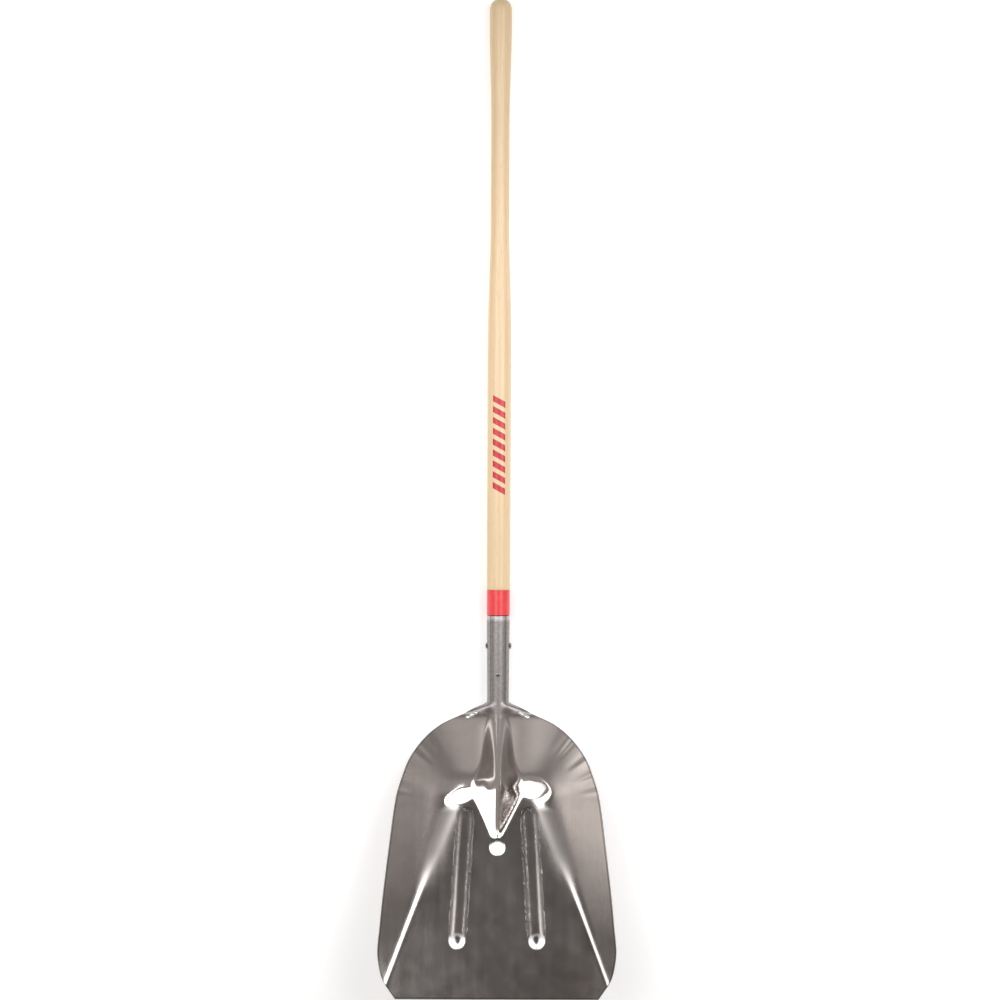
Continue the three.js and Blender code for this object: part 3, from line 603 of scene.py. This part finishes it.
def blade_material():
    m = Nodes("blade_polished")
    at = m.coordinates()
    sheet = m.coordinates(uv=True)
    zones = ("rib", "painted_dark_arch", "ring", "flat", "flank_right", "painted_highlight", "crease_painted_shade", "front", "wall", "rim", "heat", "socket",
             "lip", "painted_shadow_line")
    zone = {name: m.attribute(name) for name in zones}
    rib, crease_painted_shade, socket = zone["rib"], zone["crease_painted_shade"], zone["socket"]

    # Mill lines and streaks run along the sheet, under clouds and stains. Specks are shared by several finishes.
    lines = m.noise(1.0, m.coordinates((700, 5, 1), uv=True), 4, 0.6)
    brushed = m.noise(1.0, m.coordinates((330, 26, 1), uv=True), 4, 0.65)
    streaks = m.noise(1.0, m.coordinates((70, 2.2, 1), uv=True), 2, 0.5)
    scratches = m.noise(1.0, m.coordinates((900, 60, 1), uv=True), 2, 0.5)
    specks = m.noise(520, at, 2, 0.5)
    tone = m.math("ADD", m.math("MULTIPLY", m.noise(9, sheet, 4, 0.6), 0.45),
                  m.math("MULTIPLY", m.noise(38, sheet, 5, 0.65), 0.35))
    tone = m.remap(m.math("ADD", tone, m.math("MULTIPLY", streaks, 0.25)), 0.37, 0.67)
    pits = m.math("ADD", m.remap(specks, 0.60, 0.70), m.remap(scratches, 0.62, 0.72))
    pits = m.math("MULTIPLY", pits, m.remap(rib, 0.1, 0.9, 0.015, 0.9), clamp=True)
    mottle = m.math("MULTIPLY", m.remap(m.noise(210, at, 4, 0.7), 0.35, 0.65), socket)
    # Scuffs with a painted highlight: near-white colour in a ring round each dome, broken by specks, and rougher
    # there.
    scuffs_and_painted_highlight = m.math("MULTIPLY", m.math("MULTIPLY", zone["ring"], 0.7), m.remap(specks, 0.34, 0.50, 0.5, 1.0),
                     clamp=True)
    # Painted shade on the right flank of the ridge's nose, with bright specks left out of it.
    painted_shade_right_flank = m.math("MULTIPLY", zone["flank_right"], m.remap(specks, 0.46, 0.60, 1.0, 0.0))

    # Each layer is laid over those before it: where it lies, how strong it is, and its colour.
    colour = m.mix(tone, (0.595, 0.55, 0.53, 1), (0.71, 0.665, 0.642, 1))
    # The first layer is a painted highlight: near-white colour beside the ridge's back and on the rear right of the
    # dish.
    for mask, share, tint in ((zone["painted_highlight"], 1.0, (0.95, 0.90, 0.875, 1)),
                              (socket, 0.8, (0.28, 0.267, 0.262, 1)),
                              # Painted shade on the floor near the cutting edge.
                              (zone["front"], 0.6, (0.29, 0.25, 0.23, 1)),
                              # Painted highlight round the lip at the top of the socket.
                              (zone["lip"], 0.8, (0.88, 0.86, 0.85, 1)),
                              (pits, 0.6, (0.25, 0.24, 0.235, 1)),
                              # Painted shade along the blade's cut edge.
                              (zone["rim"], 0.8, (0.16, 0.145, 0.14, 1)),
                              # Painted shadow line down each side of the socket's front.
                              (zone["painted_shadow_line"], 0.75, (0.10, 0.09, 0.085, 1)),
                              (mottle, 0.5, (0.17, 0.155, 0.15, 1)),
                              # Painted highlight with scuffs, round each dome.
                              (scuffs_and_painted_highlight, 0.9, (0.95, 0.94, 0.93, 1)),
                              # Painted shade on the ribs' sloping sides.
                              (rib, 0.7, (0.17, 0.16, 0.155, 1)),
                              # Painted shade: the dark arch at each rib's upper end.
                              (zone["painted_dark_arch"], 0.6, (0.16, 0.15, 0.145, 1)),
                              (zone["heat"], 0.75, (0.13, 0.12, 0.115, 1)),
                              # Painted shade on the right flank of the ridge's nose.
                              (painted_shade_right_flank, 0.8, (0.12, 0.11, 0.105, 1)),
                              # Painted shade along the creases, mid-way along the blade.
                              (crease_painted_shade, 0.75, (0.14, 0.13, 0.125, 1))):
        colour = m.mix(m.math("MULTIPLY", mask, share), colour, tint)

    roughness = m.remap(tone, 0, 1, 0.135, 0.20)
    for mask, share in ((socket, 0.24), (scuffs_and_painted_highlight, 0.34), (crease_painted_shade, 0.34), (rib, 0.08)):
        roughness = m.math("ADD", roughness, m.math("MULTIPLY", mask, share), clamp=True)

    normal = m.bump(lines, 0.10, 0.00012)
    normal = m.bump(m.math("MULTIPLY", brushed, m.remap(zone["wall"], 0, 1, 0.15, 1.0)), 0.25, 0.00025, normal)
    normal = m.bump(m.math("MULTIPLY", pits, -1.0), 0.8, 0.0006, normal)
    # The flats round the ridge's nose lean towards the vertical, each to its own side.
    side = m.math("SIGN", m.add("ShaderNodeSeparateXYZ", {"Vector": at}).outputs["X"])
    upward = m.add("ShaderNodeCombineXYZ", {"X": m.math("MULTIPLY", side, 0.19), "Y": 0.15, "Z": 0.97})
    leaning = m.add("ShaderNodeMix", {0: m.math("MULTIPLY", zone["flat"], 0.86), 4: normal, 5: upward},
                    data_type="VECTOR")
    normal = m.add("ShaderNodeVectorMath", {0: leaning.outputs[1]}, operation="NORMALIZE")
    m.shade(Base_Color=colour, Metallic=1.0, Roughness=roughness, Normal=normal)
    m.shader.inputs["Anisotropic"].default_value = 0.3
    return m.material


def strap_material():
    m = Nodes("strap_mill_finish")
    at = m.coordinates()
    cloud = m.remap(m.noise(30, at, 5, 0.6), 0.3, 0.7)
    lines = m.noise(1.0, m.coordinates((700, 12, 700)), 4, 0.6)
    colour = m.mix(cloud, (0.52, 0.51, 0.50, 1), (0.66, 0.65, 0.64, 1))
    m.shade(Base_Color=colour, Metallic=1.0, Roughness=m.remap(cloud, 0, 1, 0.26, 0.40),
            Normal=m.bump(lines, 0.18, 0.0002))
    return m.material


def weld_material():
    m = Nodes("weld_bead")
    grains = m.noise(900, m.coordinates(), 3, 0.6)
    colour = m.mix(grains, (0.62, 0.61, 0.60, 1), (0.85, 0.84, 0.83, 1))
    m.shade(Base_Color=colour, Metallic=1.0, Roughness=m.remap(grains, 0.3, 0.7, 0.22, 0.45),
            Normal=m.bump(grains, 0.4, 0.0003))
    return m.material


def rivet_material():
    m = Nodes("rivet_plated")
    at = m.coordinates()
    marks = m.noise(650, at, 3, 0.6)
    colour = m.mix(m.noise(200, at), (0.15, 0.14, 0.135, 1), (0.30, 0.285, 0.28, 1))
    m.shade(Base_Color=colour, Metallic=1.0, Roughness=m.remap(marks, 0.3, 0.7, 0.2, 0.38),
            Normal=m.bump(marks, 0.25, 0.0002))
    return m.material


def wood_material():
    m = Nodes("handle_lacquered_ash")
    at = m.coordinates()
    warp = m.noise(3.0, m.coordinates((1, 0.35, 1)), 2)
    rings = m.noise(1.0, m.coordinates((150, 1.3, 150)), 3, 0.55)
    fine = m.noise(1.0, m.coordinates((950, 9, 950)), 3, 0.6)
    pores = m.noise(1.0, m.coordinates((1500, 42, 1500)), 1, 0.5)
    streak = m.remap(m.math("ADD", m.math("MULTIPLY", rings, 0.7), m.math("MULTIPLY", warp, 0.3)), 0.34, 0.66)
    colour = m.mix(streak, (0.77, 0.56, 0.33, 1), (0.87, 0.69, 0.45, 1))
    colour = m.mix(m.remap(fine, 0.35, 0.65, 0, 0.35), colour, (0.62, 0.43, 0.235, 1))
    colour = m.mix(m.remap(pores, 0.66, 0.74, 0, 0.45), colour, (0.42, 0.27, 0.14, 1))
    # The handle is a little darker and greyer towards its end.
    far = m.add("ShaderNodeSeparateXYZ", {"Vector": at}).outputs["Y"]
    end_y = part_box("handle")[1][1]
    colour = m.mix(m.remap(far, end_y - 0.45, end_y, 0, 0.45), colour, (0.53, 0.385, 0.235, 1))
    colour = m.mix(print_mask(m, at), colour, (0.56, 0.016, 0.03, 1))
    # Painted shadow: the wood in the gap below the band is coloured dark red.
    band_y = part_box("color_band")[0][1]
    colour = m.mix(m.math("LESS_THAN", far, band_y + 0.001), colour, (0.16, 0.02, 0.02, 1))
    normal = m.bump(fine, 0.12, 0.0002)
    normal = m.bump(m.remap(pores, 0.66, 0.74), -0.2, 0.0002, normal)
    m.shade(Base_Color=colour, Roughness=m.remap(fine, 0.3, 0.7, 0.36, 0.48), Normal=normal)
    m.shader.inputs["Coat Weight"].default_value = 0.35
    m.shader.inputs["Coat Roughness"].default_value = 0.18
    m.shader.inputs["Specular IOR Level"].default_value = 0.4
    return m.material


def print_mask(m, at):
    """A plain row of slanted bars along the front of the handle, with no lettering."""
    start = (TO_FRAME @ Vector((0, PRINT_START_Y, AXIS_Z))).y
    end = (TO_FRAME @ Vector((0, PRINT_END_Y, AXIS_Z))).y
    axis_z = (TO_FRAME @ Vector((0, (PRINT_START_Y + PRINT_END_Y) / 2, AXIS_Z))).z
    x, y, z = m.add("ShaderNodeSeparateXYZ", {"Vector": at}).outputs
    slanted = m.math("ADD", y, m.math("MULTIPLY", x, PRINT_SLANT))
    cycle = m.math("FRACT", m.math("MULTIPLY", m.math("SUBTRACT", slanted, start), PRINT_BARS / (end - start)))
    bar = m.math("LESS_THAN", cycle, PRINT_SHARE)
    inside = m.math("LESS_THAN", m.math("ABSOLUTE", x), PRINT_HALF_WIDTH * MM)
    inside = m.math("MULTIPLY", inside, m.math("GREATER_THAN", slanted, start))
    inside = m.math("MULTIPLY", inside, m.math("LESS_THAN", slanted, end))
    inside = m.math("MULTIPLY", inside, m.math("GREATER_THAN", z, axis_z))
    worn = m.remap(m.noise(700, at, 3, 0.7), 0.3, 0.36)
    return m.math("MULTIPLY", m.math("MULTIPLY", bar, inside), worn)


def band_material():
    m = Nodes("band_red_sleeve")
    at = m.coordinates()
    cloud = m.noise(60, at, 3)
    wrinkles = m.noise(1.0, m.coordinates((120, 900, 120)), 2)
    colour = m.mix(m.remap(cloud, 0.3, 0.7), (0.76, 0.042, 0.048, 1), (0.88, 0.065, 0.075, 1))
    m.shade(Base_Color=colour, Roughness=m.remap(cloud, 0.3, 0.7, 0.3, 0.42), Normal=m.bump(wrinkles, 0.1, 0.0002))
    m.shader.inputs["Coat Weight"].default_value = 0.3
    m.shader.inputs["Coat Roughness"].default_value = 0.12
    return m.material


def floor_material():
    m = Nodes("floor_pale")
    speckle = m.noise(90, m.coordinates(), 2)
    m.shade(Base_Color=m.mix(speckle, (0.93, 0.93, 0.93, 1), (0.95, 0.95, 0.95, 1)), Roughness=0.75)
    m.shade(Emission_Color=(1, 1, 1, 1), Emission_Strength=0.27)
    return m.material


# ---------------------------------------------------------------- building the object
def finish_piece(obj, node, material):
    obj.data.materials.append(material)
    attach(obj, "root")
    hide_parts(node)


weld = weld_material()
rivet = rivet_material()
finish_piece(make_blade(), "blade", blade_material())
finish_piece(make_strap(), "back_strap", strap_material())
finish_piece(make_handle(), "handle", wood_material())
finish_piece(make_band(), "color_band", band_material())
cross_rivet, rivet_burr, front_pin = make_rivets()
finish_piece(cross_rivet, "cross_rivet", rivet)
finish_piece(rivet_burr, "cross_rivet_burr", rivet)
finish_piece(front_pin, "front_pin", rivet)
for side_name, side_sign in (("left", -1), ("right", 1)):
    finish_piece(shoulder_bead("bead_shoulder_" + side_name, side_sign), "shoulder_weld_" + side_name, weld)
    finish_piece(flange_bead("bead_flange_" + side_name, side_sign), "flange_weld_" + side_name, weld)


# ---------------------------------------------------------------- floor, lights and camera
def add_floor():
    bpy.ops.mesh.primitive_plane_add(size=14, location=(0, 0, -0.0008))
    floor = bpy.context.object
    floor.name = "floor"
    floor.data.materials.append(floor_material())


def add_light(name, direction, distance, size, power, target):
    """A soft rectangular light in a direction from its target."""
    light = bpy.data.lights.new(name, "AREA")
    light.shape, light.size, light.size_y = "RECTANGLE", size[0], size[1]
    light.energy = power
    obj = bpy.data.objects.new(name, light)
    direction = Vector(direction).normalized()
    obj.location = Vector(target) + direction * distance
    obj.rotation_euler = direction.to_track_quat("Z", "Y").to_euler()
    bpy.context.scene.collection.objects.link(obj)


# Two large lights overhead, and two small ones whose reflections lie along the creases between floor and walls.
# Each has a name, its direction and distance from its target, its size, its power and its target.
LIGHTS = [("overhead_left", (-0.34, 0.30, 0.88), 3.2, (2.1, 1.8), 35, (0, -0.5, 0.05)),
          ("overhead_right", (0.43, 0.34, 0.84), 3.2, (2.1, 1.7), 42, (0, -0.5, 0.05)),
          ("crease_left", (-0.50, 0.70, 0.50), 1.6, (0.54, 0.64), 2.4, (0.15, -0.74, 0.12)),
          ("crease_right", (0.50, 0.70, 0.50), 1.6, (0.54, 0.64), 2.4, (-0.15, -0.74, 0.12))]

# Brightness of the room for directions from behind the cutting edge (-1) to beyond the handle's end (1).
ROOM = [(-0.95, 0.52), (-0.70, 0.50), (-0.52, 0.26), (-0.38, 0.26), (-0.24, 0.36), (0.0, 0.36), (0.2, 0.14),
        (0.9, 0.10)]


def add_world():
    """A dim grey studio: dark beyond the handle's end, lighter behind the cutting edge, and glowing low down."""
    world = bpy.data.worlds.new("studio")
    bpy.context.scene.world = world
    world.use_nodes = True
    tree = world.node_tree

    def remap(value, low, high, to_low, to_high, kind="SMOOTHSTEP"):
        node = tree.nodes.new("ShaderNodeMapRange")
        node.interpolation_type = kind
        for key, setting in zip(("From Min", "From Max", "To Min", "To Max"), (low, high, to_low, to_high)):
            node.inputs[key].default_value = setting
        tree.links.new(value, node.inputs["Value"])
        return node.outputs[0]

    def combine(operation, a, b):
        node = tree.nodes.new("ShaderNodeMath")
        node.operation = operation
        tree.links.new(a, node.inputs[0])
        tree.links.new(b, node.inputs[1])
        return node.outputs[0]

    split = tree.nodes.new("ShaderNodeSeparateXYZ")
    tree.links.new(tree.nodes.new("ShaderNodeTexCoord").outputs["Generated"], split.inputs[0])
    x, y, z = split.outputs
    ramp = tree.nodes.new("ShaderNodeValToRGB")
    ramp.color_ramp.interpolation = "EASE"
    for place, level in ROOM:
        stop = ramp.color_ramp.elements.new((place + 1) / 2)
        stop.color = (level, level, level, 1)
    ramp.color_ramp.elements.remove(ramp.color_ramp.elements[0])
    ramp.color_ramp.elements.remove(ramp.color_ramp.elements[-1])
    tree.links.new(remap(y, -1.0, 1.0, 0.0, 1.0, "LINEAR"), ramp.inputs[0])
    left = combine("MULTIPLY", remap(x, -0.90, -0.45, 1.0, 0.0), remap(y, 0.02, 0.28, 0.75, 0.40))
    right = remap(x, 0.45, 0.9, 0.0, 0.14)
    glow = combine("MULTIPLY", combine("ADD", left, right), remap(z, 0.16, 0.50, 1.0, 0.0))
    brightness = combine("ADD", ramp.outputs[0], glow)
    background = tree.nodes["Background"]
    background.inputs["Color"].default_value = (1.0, 0.94, 0.90, 1)
    tree.links.new(brightness, background.inputs["Strength"])


CAMERA_HEIGHT = 4.0
FIELD_WIDTH = 1.686  # metres of floor across the picture
CAMERA_X, CAMERA_Y = 0.002, -0.017
CAMERA_ROLL = math.radians(0.25)


def add_camera():
    camera = bpy.data.cameras.new("camera")
    camera.sensor_width = 36
    camera.lens = 36 * CAMERA_HEIGHT / FIELD_WIDTH
    camera.clip_end = 50
    obj = bpy.data.objects.new("camera", camera)
    obj.location = (CAMERA_X, CAMERA_Y, CAMERA_HEIGHT)
    obj.rotation_euler = (0, 0, CAMERA_ROLL)
    bpy.context.scene.collection.objects.link(obj)
    bpy.context.scene.camera = obj


add_floor()
add_world()
for light in LIGHTS:
    add_light(*light)
add_camera()
bpy.context.scene.view_settings.view_transform = "Standard"
